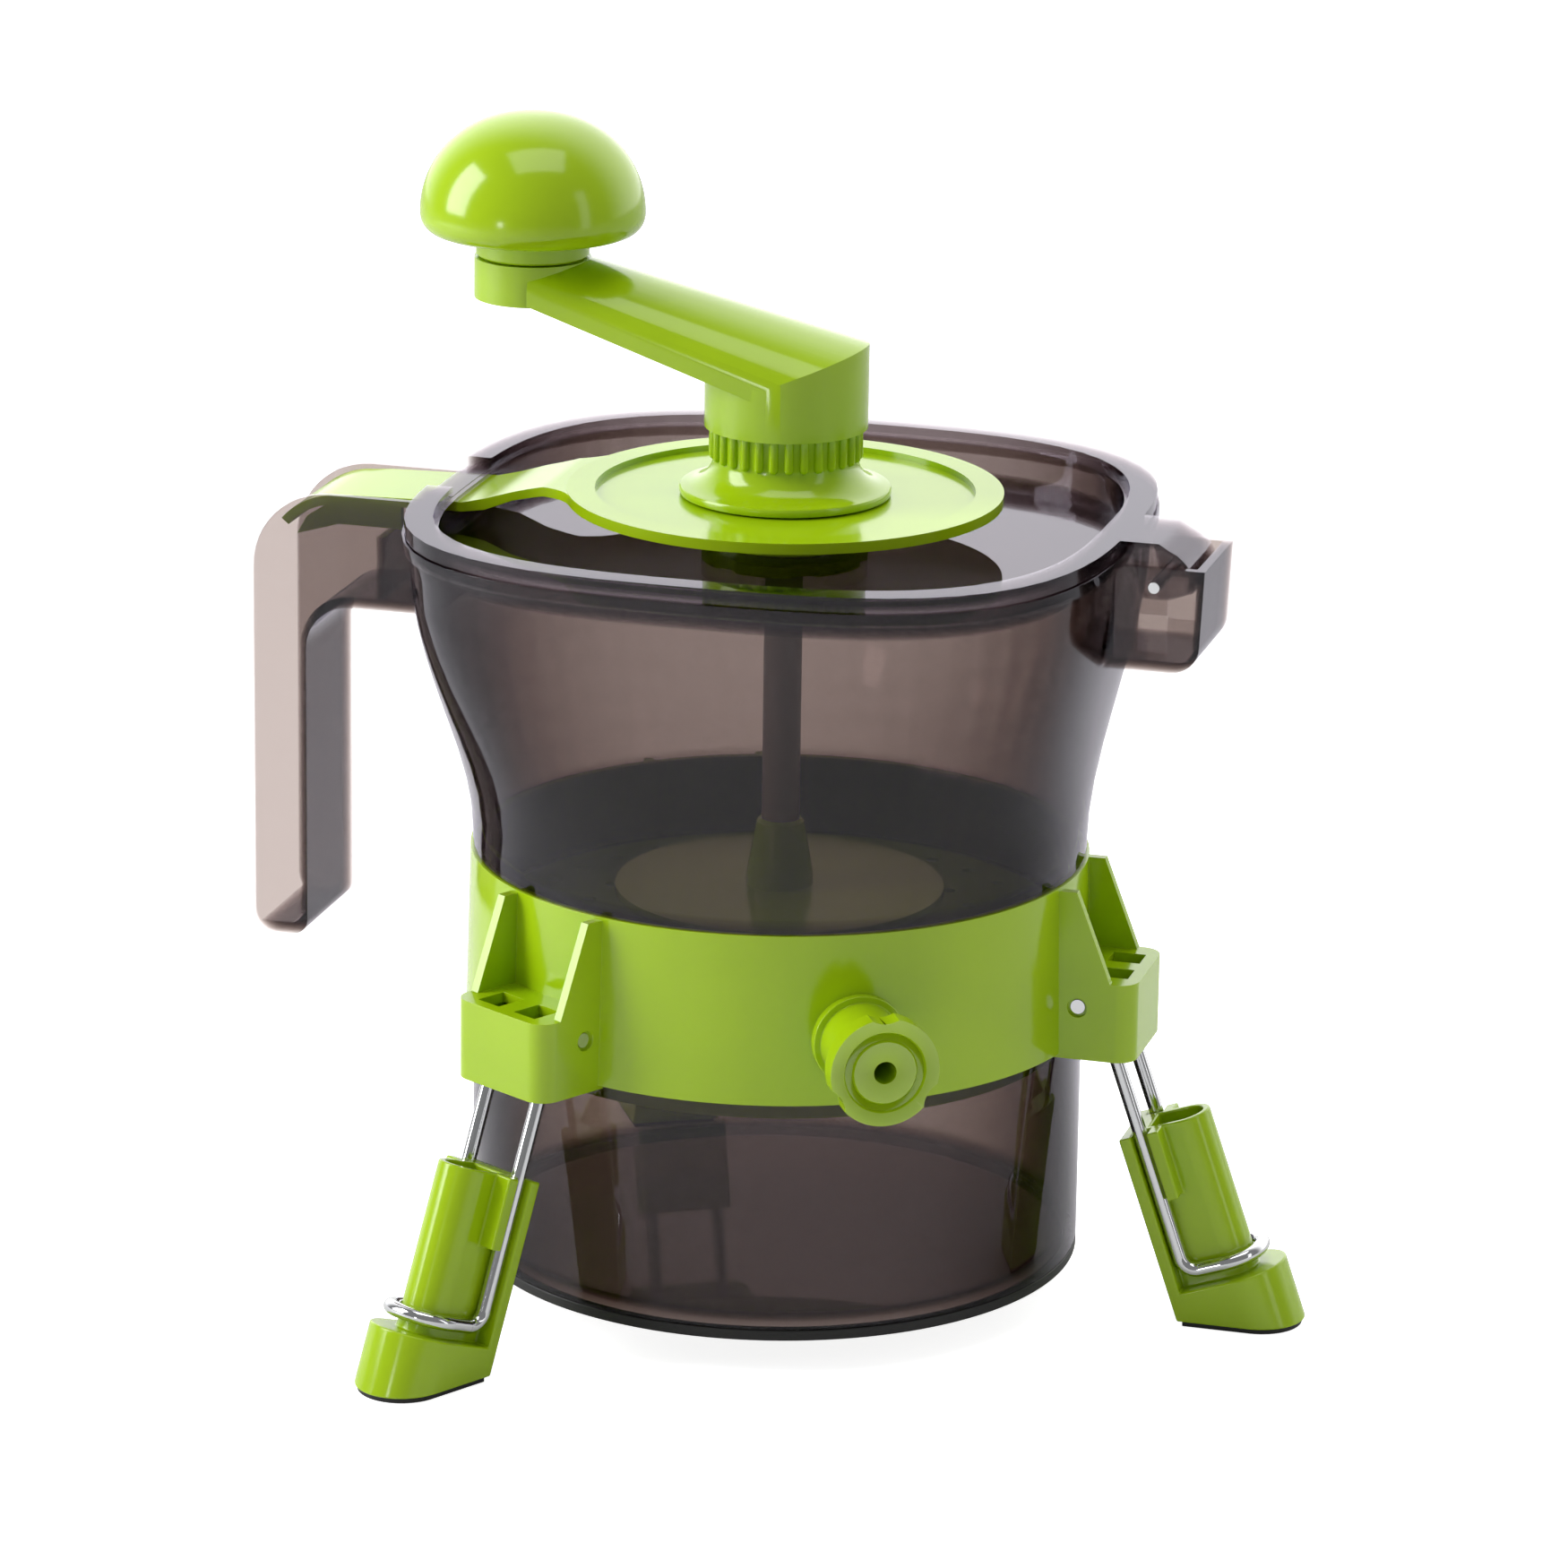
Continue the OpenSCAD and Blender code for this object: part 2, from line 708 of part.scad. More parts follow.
// Hollow shaft from the crank down to the press rotor
module shaft() {
    color(pale)
        translate([0, 0, rotor_z0 + 5])
            difference() {
                cylinder(h = hub_z0 + 16 - rotor_z0 - 5, r = shaft_r);
                translate([0, 0, hub_z0 - rotor_z0 - 12])
                    cylinder(h = 40, r = 1.6, $fn = 32);
            }
}

// Screw that holds the shaft in the hub, from above the drive collar
module shaft_screw() {
    color(steel)
        translate([0, 0, hub_z0 - 6])
            cylinder(h = 22, r = 1.6, $fn = 32);
}

// Press plate with sweeping vanes under it
module press_rotor() {
    vane_h = 4.2;
    hub = [
        [0, rotor_z0], [8.1, rotor_z0], [8.1, rotor_z0 + 5], [5.8, rotor_hub_z1 - 0.8],
        [5, rotor_hub_z1], [0, rotor_hub_z1]
    ];
    color(green)
        difference() {
            union() {
                rotate_extrude()
                    polygon(hub);
                translate([0, 0, rotor_z0])
                    cylinder(h = rotor_t, r = rotor_r);
                for (i = [0:3])
                    rotate(i * 90)
                        translate([0, 0, rotor_z0 - vane_h])
                            intersection() {
                                translate([0, -22, 0])
                                    tube(24, 21.6, 0, vane_h + 0.5);
                                box(6, 38, -22, 10, -1, vane_h + 1);
                            }
            }
            translate([0, 0, rotor_z0 + 5])
                cylinder(h = 30, r = shaft_r);
            translate([0, 0, rotor_z0 - 1])
                cylinder(h = 4, r = 4.8);
        }
}

// Mushroom knob, free to turn on its spindle
module knob() {
    lip_r = 23;
    z1 = knob_z0 + knob_neck_h;
    wide_z = z1 + 4.7;
    outline = concat(
        [[spindle_r + 0.06, knob_z0], [knob_neck_r, knob_z0], [knob_neck_r, z1], [lip_r, z1]],
        [for (k = [1:6]) let (t = 90 * k / 6) [lip_r + (knob_r - lip_r) * sin(t), z1 + 4.7 * (1 - cos(t))]],
        [for (k = [1:14]) let (t = 90 * k / 14) [knob_r * pow(cos(t), 0.92), wide_z + knob_dome * sin(t)]],
        [[0, wide_z + knob_dome - 6], [spindle_r + 0.06, wide_z + knob_dome - 6]]
    );
    color(green)
        translate([-crank_r, 0, 0])
            rotate_extrude()
                polygon(outline);
}

// Shouldered pin from the arm's boss up into the knob
module knob_spindle() {
    color(steel)
        translate([-crank_r, 0, 0]) {
            translate([0, 0, boss_z0 + 0.6])
                cylinder(h = 31, r = spindle_r, $fn = 48);
            translate([0, 0, boss_z0 + 0.6])
                cylinder(h = 2.2, r = 5.6, $fn = 48);
        }
}

// Thin washer under the knob's neck
module knob_washer() {
    color(steel)
        translate([-crank_r, 0, 0])
            tube(5.4, spindle_r, boss_z1, boss_z1 + 0.15);
}

// Moves a piece drawn along +Z onto the tap's axis
module on_tap() {
    rotate(tap_angle)
        translate([0, 0, tap_z])
            rotate([0, 90, 0])
                children();
}

module tap_body() {
    color(green)
        difference() {
            union() {
                difference() {
                    on_tap() {
                        translate([0, 0, collar_r - 2])
                            cylinder(h = 4.6, r = 11.2);
                        translate([0, 0, collar_r - 2])
                            cylinder(h = 21.2, r = 9.6);
                    }
                    translate([0, 0, collar_z0])
                        cylinder(h = collar_z1 - collar_z0, r1 = collar_r + collar_flare, r2 = collar_r);
                }
                on_tap()
                    translate([0, 0, 72.8])
                        cylinder(h = 6, r = 4.9);
            }
            on_tap() {
                translate([0, 0, 69])
                    cylinder(h = 30, r = 3.4);
                translate([0, 0, 82])
                    cylinder(h = 20, r = 7.1);
            }
        }
}

// Three-lobed tap knob; its bore is the spout
module tap_knob() {
    z0 = 94.6;
    z1 = 100;
    color(green)
        on_tap()
            difference() {
                union() {
                    translate([0, 0, z0])
                        cylinder(h = z1 - z0 - 1, r = tap_knob_r);
                    translate([0, 0, z1 - 1])
                        cylinder(h = 1, r1 = tap_knob_r, r2 = tap_knob_r - 1);
                    translate([0, 0, 82.4])
                        cylinder(h = 13, r = 7.04);
                }
                translate([0, 0, 80])
                    cylinder(h = 30, r = 2.7);
                translate([0, 0, z1 - 0.8])
                    tube(9.8, 7.4, 0, 2);
                for (i = [0:2])
                    rotate(i * 120 + 180)
                        translate([tap_knob_r + 7.6, 0, z0 - 1])
                            cylinder(h = 10, r = 8.6);
            }
}

// Puts a piece drawn in the plane of one leg, on +X, at that leg
module at_leg(i) {
    rotate(leg_first + i * 360 / legs)
        children();
}

// Puts a piece drawn along a leg at the leg's lower bend: x outwards, z up along the wires
module along_leg() {
    translate([leg_bottom[0], 0, leg_bottom[1]])
        rotate([0, -splay, 0])
            children();
}

function unit(v) = v / norm(v);

// Wire through a list of points, bent at each inner one to the radius beside it in the second list
module wire(path, radii) {
    last = len(path) - 1;
    dirs = [for (k = [0:last - 1]) unit(path[k + 1] - path[k])];
    turns = [for (k = [1:last - 1]) acos(dirs[k - 1] * dirs[k])];
    backs = concat([0], [for (k = [1:last - 1]) radii[k - 1] * tan(turns[k - 1] / 2)], [0]);
    lap = 0.3;          // how far a straight length runs on into a bend
    swell = 0.03;       // a bend is this much thicker
    for (k = [0:last - 1]) {
        d = dirs[k];
        a = k > 0 ? backs[k] - lap : 0;
        b = k < last - 1 ? backs[k + 1] - lap : 0;
        translate(path[k] + a * d)
            rotate([0, acos(d[2]), atan2(d[1], d[0])])
                cylinder(h = norm(path[k + 1] - path[k]) - a - b, r = wire_r, $fn = 32);
    }
    for (k = [1:last - 1]) {
        d = dirs[k - 1];
        n = unit(dirs[k] - (dirs[k] * d) * d);
        c = path[k] - backs[k] * d + radii[k - 1] * n;
        z = cross(d, n);
        multmatrix([[-n[0], d[0], z[0], c[0]], [-n[1], d[1], z[1], c[1]], [-n[2], d[2], z[2], c[2]], [0, 0, 0, 1]])
            rotate_extrude(angle = turns[k - 1], $fn = 96)
                translate([radii[k - 1], 0])
                    circle(r = wire_r + swell, $fn = 32);
    }
}

// One leg: a wire bail whose upper ends are its pivots, with a loop at the bottom
module leg_wire(i) {
    out = [cos(splay), 0, sin(splay)];
    bottom = [leg_bottom[0], 0, leg_bottom[1]];
    half = [
        [pivot_r, block_half - 0.8, pivot_z], [pivot_r, wire_half, pivot_z], [knee[0], wire_half, knee[1]],
        bottom + [0, wire_half, 0], bottom + (loop_run + wire_half) * out + [0, wire_half, 0]
    ];
    bends = [2.6, 5, bend_r, wire_half - 0.6];
    color(steel)
        at_leg(i)
            wire(
                concat(half, [for (k = [4:-1:0]) [half[k][0], -half[k][1], half[k][2]]]),
                concat(bends, [for (k = [3:-1:0]) bends[k]])
            );
}

// Outline of the foot's tube, seen along the leg
module tube_outline(half, inner) {
    translate([loop_run, 0])
        circle(r = half);
    translate([inner, -half])
        square([loop_run - inner, 2 * half]);
}

// Foot that slides on the wires: a socket, a back plate, two lugs and a slanting base
module foot(i) {
    lug_z0 = 19;
    color(green)
        at_leg(i)
            difference() {
                along_leg()
                    difference() {
                        union() {
                            translate([0, 0, foot_step - 1])
                                linear_extrude(foot_top - foot_step + 1)
                                    tube_outline(tube_half, plate_in + 1);
                            translate([plate_in, -plate_half, -40])
                                cube([2.9, 2 * plate_half, foot_top + 40]);
                            for (side = [-1, 1])
                                translate([wire_r + 0.3, side > 0 ? tube_half - 1 : -plate_half, lug_z0])
                                    cube([3, plate_half - tube_half + 1, foot_top - lug_z0]);
                            translate([0, 0, -40])
                                linear_extrude(40 + foot_step)
                                    union() {
                                        translate([toe_n - plate_half, 0])
                                            circle(r = plate_half);
                                        translate([plate_in, -plate_half])
                                            square([toe_n - plate_half - plate_in, 2 * plate_half]);
                                    }
                        }
                        translate([0, 0, 8])
                            linear_extrude(60)
                                tube_outline(tube_half - 1.8, 1.5);
                        // Way for the wires and for the loop that closes round the socket
                        for (side = [-1, 1])
                            translate([-wire_r - 0.2, side * (wire_half + 0.02) - wire_r - 0.3, foot_step])
                                cube([2 * wire_r + 0.5, 2 * wire_r + 0.6, 80]);
                    }
                translate([60, -40, -60])
                    cube([100, 80, 60 + pad_h]);
            }
}

// Rubber sole, flat on the floor
module foot_pad(i) {
    inset = 0.8;
    heel = leg_bottom[0] + (leg_bottom[1] - pad_h) * tan(splay) + plate_in / cos(splay) + 1.2;
    toe = leg_bottom[0] + (leg_bottom[1] - pad_h) * tan(splay) + toe_n / cos(splay) - inset;
    half = plate_half - inset;
    color(rubber)
        at_leg(i)
            linear_extrude(pad_h)
                union() {
                    translate([toe - half, 0])
                        circle(r = half);
                    translate([heel, -half])
                        square([toe - half - heel, 2 * half]);
                }
}

cup();
cup_base_ring();
collar();
bowl();
bowl_seal();
handle();
hinge_pocket();
hinge_pin();
strainer();
drain_web();
lid();
latch_disc();
lid_nut();
lid_bush();
crank_arm();
drive_collar();
shaft();
shaft_screw();
press_rotor();
knob();
knob_spindle();
knob_washer();
tap_body();
tap_knob();
leg_wire(0);  // leg_wire_1
leg_wire(1);  // leg_wire_2
leg_wire(2);  // leg_wire_3
foot(0);  // foot_1
foot(1);  // foot_2
foot(2);  // foot_3
foot_pad(0);  // foot_pad_1
foot_pad(1);  // foot_pad_2
foot_pad(2);  // foot_pad_3
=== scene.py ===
# Looks of the hand-cranked fruit press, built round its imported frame. Metres, +Z up, the crank's axis on Z.
import math

import bpy
from mathutils import Matrix, Vector


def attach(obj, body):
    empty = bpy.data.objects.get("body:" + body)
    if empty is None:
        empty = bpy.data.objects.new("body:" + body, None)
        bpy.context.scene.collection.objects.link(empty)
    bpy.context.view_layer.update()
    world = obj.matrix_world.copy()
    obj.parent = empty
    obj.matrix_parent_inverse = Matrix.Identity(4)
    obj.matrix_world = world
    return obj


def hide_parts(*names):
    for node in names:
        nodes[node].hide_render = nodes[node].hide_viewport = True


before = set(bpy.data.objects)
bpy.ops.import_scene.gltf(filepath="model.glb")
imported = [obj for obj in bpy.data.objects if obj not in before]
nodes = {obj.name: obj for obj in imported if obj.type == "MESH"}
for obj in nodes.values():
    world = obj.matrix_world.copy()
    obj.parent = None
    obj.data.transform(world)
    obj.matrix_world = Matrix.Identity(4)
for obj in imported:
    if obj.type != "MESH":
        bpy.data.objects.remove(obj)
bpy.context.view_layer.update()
mm = 0.001


def clearSelection():
    if bpy.context.object and bpy.context.object.mode != "OBJECT":
        bpy.ops.object.mode_set(mode="OBJECT")
    bpy.ops.object.select_all(action="DESELECT")


def pick(obj):
    clearSelection()
    obj.select_set(True)
    bpy.context.view_layer.objects.active = obj


def editAll(obj):
    pick(obj)
    bpy.ops.object.mode_set(mode="EDIT")
    bpy.ops.mesh.select_all(action="SELECT")


def doneEditing():
    bpy.ops.object.mode_set(mode="OBJECT")


def settle(obj):
    # puts the piece's place into its mesh
    pick(obj)
    bpy.ops.object.transform_apply(location=True, rotation=True, scale=True)


def applyModifier(obj, kind, **settings):
    mod = obj.modifiers.new(kind.title(), kind)
    for key, value in settings.items():
        setattr(mod, key, value)
    pick(obj)
    bpy.ops.object.modifier_apply(modifier=mod.name)


def cutWith(obj, tool, how="DIFFERENCE"):
    applyModifier(obj, "BOOLEAN", object=tool, operation=how, solver="EXACT")
    bpy.data.objects.remove(tool)


def roundEdges(obj, width, segments=3, angle=32):
    applyModifier(
        obj, "BEVEL", width=width * mm, segments=segments, limit_method="ANGLE",
        angle_limit=math.radians(angle), use_clamp_overlap=True, harden_normals=False,
    )


def smooth(obj, angle=35):
    # flat faces stay flat beside their rounded edges
    pick(obj)
    bpy.ops.object.shade_smooth_by_angle(angle=math.radians(angle))
    applyModifier(obj, "WEIGHTED_NORMAL", keep_sharp=True, weight=60)


def finishPiece(obj, name, body, material, replaced=()):
    obj.name = name
    obj.data.name = name
    settle(obj)
    obj.data.materials.clear()
    obj.data.materials.append(material)
    if replaced:
        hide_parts(*replaced)
    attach(obj, body)
    return obj


def ringStack(outline, sides=128, centre=(0, 0), closed=False):
    # rings of (radius, height) in millimetres, extruded one from the other
    radius, height = outline[0]
    clearSelection()
    bpy.ops.mesh.primitive_circle_add(
        vertices=sides, radius=radius * mm, location=(centre[0] * mm, centre[1] * mm, height * mm)
    )
    obj = bpy.context.object
    editAll(obj)
    for nextRadius, nextHeight in outline[1:]:
        bpy.ops.mesh.extrude_region_move(
            TRANSFORM_OT_translate={"value": (0, 0, (nextHeight - height) * mm)}
        )
        grow = nextRadius / radius
        bpy.ops.transform.resize(
            value=(grow, grow, 1), center_override=(centre[0] * mm, centre[1] * mm, nextHeight * mm)
        )
        radius, height = nextRadius, nextHeight
    if closed:
        bpy.ops.mesh.select_all(action="DESELECT")
        bpy.ops.mesh.select_non_manifold(extend=False)
        bpy.ops.mesh.bridge_edge_loops()
    bpy.ops.mesh.select_all(action="SELECT")
    bpy.ops.mesh.remove_doubles(threshold=0.004 * mm)
    if not closed:
        bpy.ops.mesh.fill_holes(sides=0)
    bpy.ops.mesh.select_all(action="SELECT")
    bpy.ops.mesh.normals_make_consistent(inside=False)
    doneEditing()
    settle(obj)
    return obj


def addCylinder(radius, bottom, top, centre=(0, 0), vertices=128):
    clearSelection()
    bpy.ops.mesh.primitive_cylinder_add(
        vertices=vertices, radius=radius * mm, depth=(top - bottom) * mm,
        location=(centre[0] * mm, centre[1] * mm, (bottom + top) / 2 * mm),
    )
    obj = bpy.context.object
    settle(obj)
    return obj


def addBlock(low, high):
    clearSelection()
    bpy.ops.mesh.primitive_cube_add(size=1, location=[(a + b) / 2 * mm for a, b in zip(low, high)])
    obj = bpy.context.object
    obj.scale = [(b - a) * mm for a, b in zip(low, high)]
    settle(obj)
    return obj


def selectVertices(obj, test):
    # leaves only the vertices that pass the test selected, in edit mode
    pick(obj)
    bpy.ops.object.mode_set(mode="EDIT")
    bpy.ops.mesh.select_mode(type="VERT")
    bpy.ops.mesh.select_all(action="DESELECT")
    bpy.ops.object.mode_set(mode="OBJECT")
    for vertex in obj.data.vertices:
        vertex.select = test(vertex.co / mm)
    bpy.ops.object.mode_set(mode="EDIT")


def mergedCopy(nodeName, name, dissolve=True):
    # a CAD node's mesh with its loose triangles joined and, if asked, its flat faces made whole
    obj = bpy.data.objects.new(name, nodes[nodeName].data.copy())
    bpy.context.scene.collection.objects.link(obj)
    editAll(obj)
    bpy.ops.mesh.remove_doubles(threshold=0.002 * mm)
    if dissolve:
        bpy.ops.mesh.dissolve_limited(angle_limit=math.radians(0.4))
    doneEditing()
    if obj.data.has_custom_normals:
        bpy.ops.mesh.customdata_custom_splitnormals_clear()
    return obj


def softened(nodeName, name, body, material, width=0.4, angle=32, smoothAngle=35):
    # a merged copy of a CAD node with its edges rounded as a mould leaves them
    obj = mergedCopy(nodeName, name)
    if width:
        roundEdges(obj, width, angle=angle)
    smooth(obj, smoothAngle)
    return finishPiece(obj, name, body, material, (nodeName,))


# Materials


def linear(hexCode):
    # sRGB hex to linear colour
    parts = [int(hexCode[i:i + 2], 16) / 255 for i in (1, 3, 5)]
    return tuple(p / 12.92 if p <= 0.04045 else ((p + 0.055) / 1.055) ** 2.4 for p in parts) + (1,)


def addNode(tree, kind, settings=None, links=None, **inputs):
    # one node, with its settings, its sockets' values and the links into it
    node = tree.nodes.new(kind)
    for key, value in (settings or {}).items():
        setattr(node, key, value)
    for key, value in inputs.items():
        node.inputs[key.replace("_", " ")].default_value = value
    for key, source in (links or {}).items():
        tree.links.new(source, node.inputs[key])
    return node


def newMaterial(name):
    material = bpy.data.materials.new(name)
    material.use_nodes = True
    material.node_tree.nodes.clear()
    return material, material.node_tree


def mouldedBump(tree, waveMm, grainMm, depth):
    # faint sink and flow marks of a moulding, over a very fine skin
    place = addNode(tree, "ShaderNodeTexCoord")
    flow = addNode(
        tree, "ShaderNodeTexNoise", {"noise_dimensions": "3D"}, {"Vector": place.outputs["Object"]},
        Scale=1000 / waveMm, Detail=1.0, Roughness=0.4,
    )
    grain = addNode(
        tree, "ShaderNodeTexNoise", {"noise_dimensions": "3D"}, {"Vector": place.outputs["Object"]},
        Scale=1000 / grainMm, Detail=2.0, Roughness=0.5,
    )
    first = addNode(
        tree, "ShaderNodeBump", None, {"Height": flow.outputs["Fac"]}, Strength=0.25, Distance=depth * mm,
    )
    return addNode(
        tree, "ShaderNodeBump", None, {"Height": grain.outputs["Fac"], "Normal": first.outputs["Normal"]},
        Strength=0.05, Distance=0.01 * mm,
    ), flow, grain


greenPlastic = {
    "colour": "#A6C80E", "shade": "#9BBC0C", "roughness": 0.14, "ior": 1.54,
    "waveMm": 22, "grainMm": 0.9, "depthMm": 0.12,
}


def makeAbs(name, look):
    # injection-moulded ABS from a polished mould: deep even colour, sharp highlights, slight sink marks
    material, tree = newMaterial(name)
    bump, flow, grain = mouldedBump(tree, look["waveMm"], look["grainMm"], look["depthMm"])
    tint = addNode(tree, "ShaderNodeMix", {"data_type": "RGBA"}, {"Factor": flow.outputs["Fac"]})
    tint.inputs[6].default_value = linear(look["colour"])
    tint.inputs[7].default_value = linear(look["shade"])
    rough = addNode(
        tree, "ShaderNodeMapRange", None, {"Value": grain.outputs["Fac"]},
        To_Min=look["roughness"] - 0.03, To_Max=look["roughness"] + 0.04,
    )
    shader = addNode(
        tree, "ShaderNodeBsdfPrincipled", None,
        {"Base Color": tint.outputs[2], "Roughness": rough.outputs[0], "Normal": bump.outputs["Normal"]},
        IOR=look["ior"], Subsurface_Weight=0.08, Subsurface_Scale=0.002,
    )
    shader.inputs["Subsurface Radius"].default_value = (1.0, 0.9, 0.2)
    addNode(tree, "ShaderNodeOutputMaterial", None, {"Surface": shader.outputs[0]})
    return material


# what a wall of that thickness lets through, so that edges and thick places come out darker
smokedPlastic = {
    "through": (0.37, 0.315, 0.295), "wallMm": 2.3, "mirror": (0.95, 0.92, 1.0), "roughness": 0.02,
    "frontGloss": 0.035, "slantGloss": 0.9, "slantPower": 5, "waveMm": 45, "depthMm": 0.05,
}
thinSmoked = dict(smokedPlastic, through=(0.5, 0.46, 0.465))


def makeSmoked(name, look):
    # clear styrene-acrylonitrile tinted brown-grey: it darkens with depth, and its skin mirrors at a slant
    material, tree = newMaterial(name)
    place = addNode(tree, "ShaderNodeTexCoord")
    flow = addNode(
        tree, "ShaderNodeTexNoise", None, {"Vector": place.outputs["Object"]},
        Scale=1000 / look["waveMm"], Detail=0.0,
    )
    bump = addNode(
        tree, "ShaderNodeBump", None, {"Height": flow.outputs["Fac"]},
        Strength=0.15, Distance=look["depthMm"] * mm,
    )
    facing = addNode(tree, "ShaderNodeLayerWeight", Blend=0.5)
    glance = addNode(tree, "ShaderNodeMath", {"operation": "POWER"}, {0: facing.outputs["Facing"]})
    glance.inputs[1].default_value = look["slantPower"]
    gloss = addNode(
        tree, "ShaderNodeMapRange", None, {"Value": glance.outputs[0]},
        To_Min=look["frontGloss"], To_Max=look["slantGloss"],
    )
    through = addNode(tree, "ShaderNodeBsdfTransparent", Color=(1, 1, 1, 1))
    mirror = addNode(
        tree, "ShaderNodeBsdfGlossy", None, {"Normal": bump.outputs["Normal"]},
        Roughness=look["roughness"], Color=look["mirror"] + (1,),
    )
    surface = addNode(
        tree, "ShaderNodeMixShader", None, {0: gloss.outputs[0], 1: through.outputs[0], 2: mirror.outputs[0]},
    )
    # the absorption node keeps exp(-(1 - colour) * density * depth) of the light
    loss = [-math.log(share) / (look["wallMm"] * mm) for share in look["through"]]
    density = max(loss) * 1.1
    kept = tuple(1 - part / density for part in loss) + (1,)
    depth = addNode(tree, "ShaderNodeVolumeAbsorption", Color=kept, Density=density)
    addNode(
        tree, "ShaderNodeOutputMaterial", None, {"Surface": surface.outputs[0], "Volume": depth.outputs[0]},
    )
    return material


chromedWire = {"colour": "#D9DADC", "roughness": 0.08, "drawMm": 0.5}


def makeChrome(name, look):
    # nickel-chrome plate on drawn wire: near-mirror with faint draw lines and speckle
    material, tree = newMaterial(name)
    place = addNode(tree, "ShaderNodeTexCoord")
    lines = addNode(
        tree, "ShaderNodeTexNoise", None, {"Vector": place.outputs["Object"]},
        Scale=1000 / look["drawMm"], Detail=2.0,
    )
    rough = addNode(
        tree, "ShaderNodeMapRange", None, {"Value": lines.outputs["Fac"]},
        To_Min=look["roughness"] - 0.03, To_Max=look["roughness"] + 0.08,
    )
    bump = addNode(
        tree, "ShaderNodeBump", None, {"Height": lines.outputs["Fac"]}, Strength=0.06, Distance=0.02 * mm,
    )
    shader = addNode(
        tree, "ShaderNodeBsdfPrincipled", None,
        {"Roughness": rough.outputs[0], "Normal": bump.outputs["Normal"]},
        Base_Color=linear(look["colour"]), Metallic=1.0,
    )
    addNode(tree, "ShaderNodeOutputMaterial", None, {"Surface": shader.outputs[0]})
    return material


def makeRubber(name, dark, light, roughness):
    # moulded rubber: near-black, dull, with a fine pebbled skin
    material, tree = newMaterial(name)
    place = addNode(tree, "ShaderNodeTexCoord")
    skin = addNode(
        tree, "ShaderNodeTexNoise", None, {"Vector": place.outputs["Object"]}, Scale=1000 / 0.8, Detail=3.0,
    )
    tint = addNode(tree, "ShaderNodeMix", {"data_type": "RGBA"}, {"Factor": skin.outputs["Fac"]})
    tint.inputs[6].default_value = linear(dark)
    tint.inputs[7].default_value = linear(light)
    bump = addNode(tree, "ShaderNodeBump", None, {"Height": skin.outputs["Fac"]}, Strength=0.3, Distance=0.05 * mm)
    shader = addNode(
        tree, "ShaderNodeBsdfPrincipled", None,
        {"Base Color": tint.outputs[2], "Normal": bump.outputs["Normal"]}, Roughness=roughness, IOR=1.52,
    )
    addNode(tree, "ShaderNodeOutputMaterial", None, {"Surface": shader.outputs[0]})
    return material


greenAbs = makeAbs("limeGreenAbs", greenPlastic)
smokedSan = makeSmoked("smokedSan", smokedPlastic)
thinSan = makeSmoked("thinSmokedSan", thinSmoked)
chromeWire = makeChrome("chromedSteelWire", chromedWire)
soleRubber = makeRubber("blackRubberSole", "#0E0E0E", "#1C1B1B", 0.55)
sealRubber = makeRubber("greySealRubber", "#2E2B2B", "#3C3838", 0.5)
paleAcetal = makeAbs("paleAcetal", {
    "colour": "#A8A2A4", "shade": "#9C9799", "roughness": 0.32, "ior": 1.48,
    "waveMm": 14, "grainMm": 0.8, "depthMm": 0.05,
})
print("materials made")

# millimetres; the neck stands on the crank's boss
knobShape = {
    "axisX": -63.5, "bottom": 250.1, "neckRadius": 13.6, "neckTop": 255.9,
    "lipRadius": 23, "wideRadius": 27, "wideHeight": 260.6, "top": 284.6,
}


def makeKnob():
    k = knobShape
    rise = k["wideHeight"] - k["neckTop"]
    dome = k["top"] - k["wideHeight"]
    outline = [(3.1, k["bottom"]), (k["neckRadius"] - 0.5, k["bottom"]), (k["neckRadius"], k["bottom"] + 0.5)]
    outline += [(k["neckRadius"], k["neckTop"] - 0.5), (k["neckRadius"] + 0.5, k["neckTop"])]
    outline += [(k["lipRadius"] - 1, k["neckTop"])]
    for i in range(11):
        t = math.radians(9 * i)
        outline.append((k["lipRadius"] + (k["wideRadius"] - k["lipRadius"]) * math.sin(t),
                        k["neckTop"] + rise * (1 - math.cos(t))))
    for i in range(1, 37):
        t = math.radians(2.5 * i)
        outline.append((max(k["wideRadius"] * math.cos(t) ** 0.92, 0.001), k["wideHeight"] + dome * math.sin(t)))
    obj = ringStack(outline, sides=128, centre=(k["axisX"], 0))
    smooth(obj, 40)
    return finishPiece(obj, "crankKnob", "knob", greenAbs, ("knob",))


makeKnob()
print("knob made")

# an arched arm that runs into a mitre over the hub
armShape = {
    # place along X, half width, height of the side edge, rise of the arch
    "hubEnd": (30, 22.25, 216.08, 15.4), "knobEnd": (-60.5, 14.3, 243.9, 8.5),
    "sideDepth": 3.3, "hubRadius": 19.6, "hubBottom": 213.3, "hubTop": 226.0,
    "bossRadius": 14, "bossBottom": 240, "bossTop": 249.8, "knobX": -63.5, "edge": 0.7,
}


